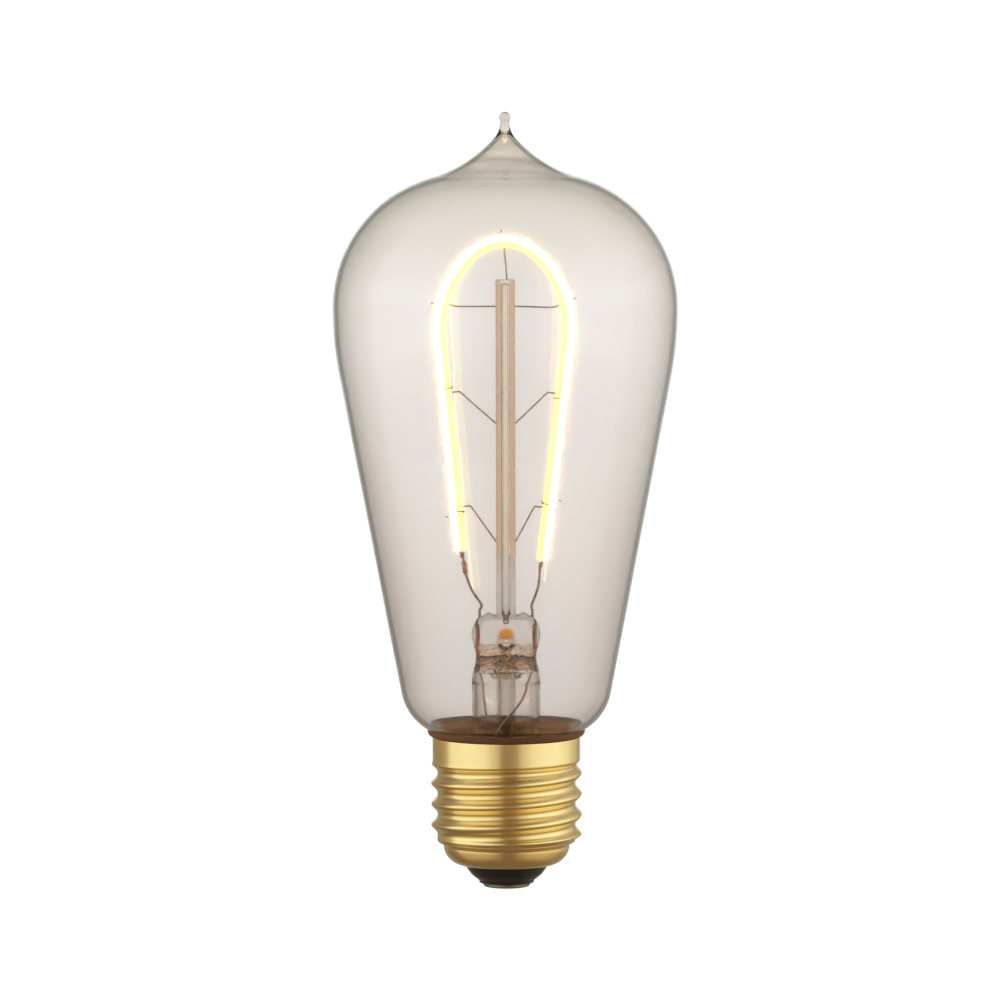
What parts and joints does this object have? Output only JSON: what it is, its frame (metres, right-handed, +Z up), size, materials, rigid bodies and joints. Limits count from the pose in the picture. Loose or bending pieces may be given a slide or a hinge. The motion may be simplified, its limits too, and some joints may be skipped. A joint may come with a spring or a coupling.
{
  "type": "filament light bulb",
  "caption": "Pear-shaped clear glass lamp with a drawn tip, a hairpin light-emitting filament on a glass stem and a rolled brass screw cap.",
  "frame": {"origin": "centre of the contact's face under the cap, where the lamp meets its holder's spring", "axes": "+Z up the lamp's axis to the glass tip, +X to the right in the picture, -Y towards the camera"},
  "size_m": [0.06, 0.06, 0.1348],
  "materials": {
    "bulb_glass": "clear blown glass, smooth and glossy, with a faint warm grey tint",
    "stem_glass": "clear drawn and pressed glass",
    "brass": "rolled sheet brass, bright with soft roller marks",
    "contact_brass": "pressed brass, lightly scuffed",
    "solder": "dull tin solder",
    "insulator": "black moulded insulator, semi-gloss",
    "cement": "baked resin cement, brown and grainy",
    "copper": "oxidised copper",
    "lead_metal": "drawn nickel wire",
    "hook_metal": "fine molybdenum wire, brown-grey",
    "strip_metal": "plated flexible strip",
    "phosphor_white": "phosphor silicone, lit warm white",
    "phosphor_yellow": "phosphor silicone, lit yellow",
    "chip": "sapphire-based emitter chips",
    "board": "green laminate with solder resist",
    "component": "black moulded component bodies",
    "capacitor": "shrunk dark blue film",
    "resistor": "grey-green enamelled ceramic",
    "red_wire": "red wire insulation",
    "blue_wire": "blue wire insulation"
  },
  "bodies": {
    "root": {"glass_envelope": "bulb_glass", "cap_shell": "brass", "cap_insulator": "insulator", "centre_contact": "contact_brass", "contact_solder": "solder", "basing_cement": "cement", "stem_glass": "stem_glass", "exhaust_tube": "stem_glass", "glass_rod": "stem_glass", "left_seal_wire": "copper", "right_seal_wire": "copper", "left_upper_lead": "lead_metal", "right_upper_lead": "lead_metal", "left_lower_lead": "lead_metal", "right_lower_lead": "lead_metal", "weld_sleeve": "copper", "filament_strip": "strip_metal", "outer_phosphor": "phosphor_white", "inner_phosphor": "phosphor_yellow", "led_chips": "chip", "left_end_tab": "copper", "right_end_tab": "copper", "top_hook": "hook_metal", "upper_left_hook": "hook_metal", "upper_right_hook": "hook_metal", "middle_left_hook": "hook_metal", "middle_right_hook": "hook_metal", "lower_left_hook": "hook_metal", "lower_right_hook": "hook_metal", "driver_board": "board", "bridge_rectifier": "component", "driver_chip": "component", "smoothing_capacitor": "capacitor", "fusible_resistor": "resistor", "live_wire": "red_wire", "shell_wire": "blue_wire"}
  },
  "joints": []
}
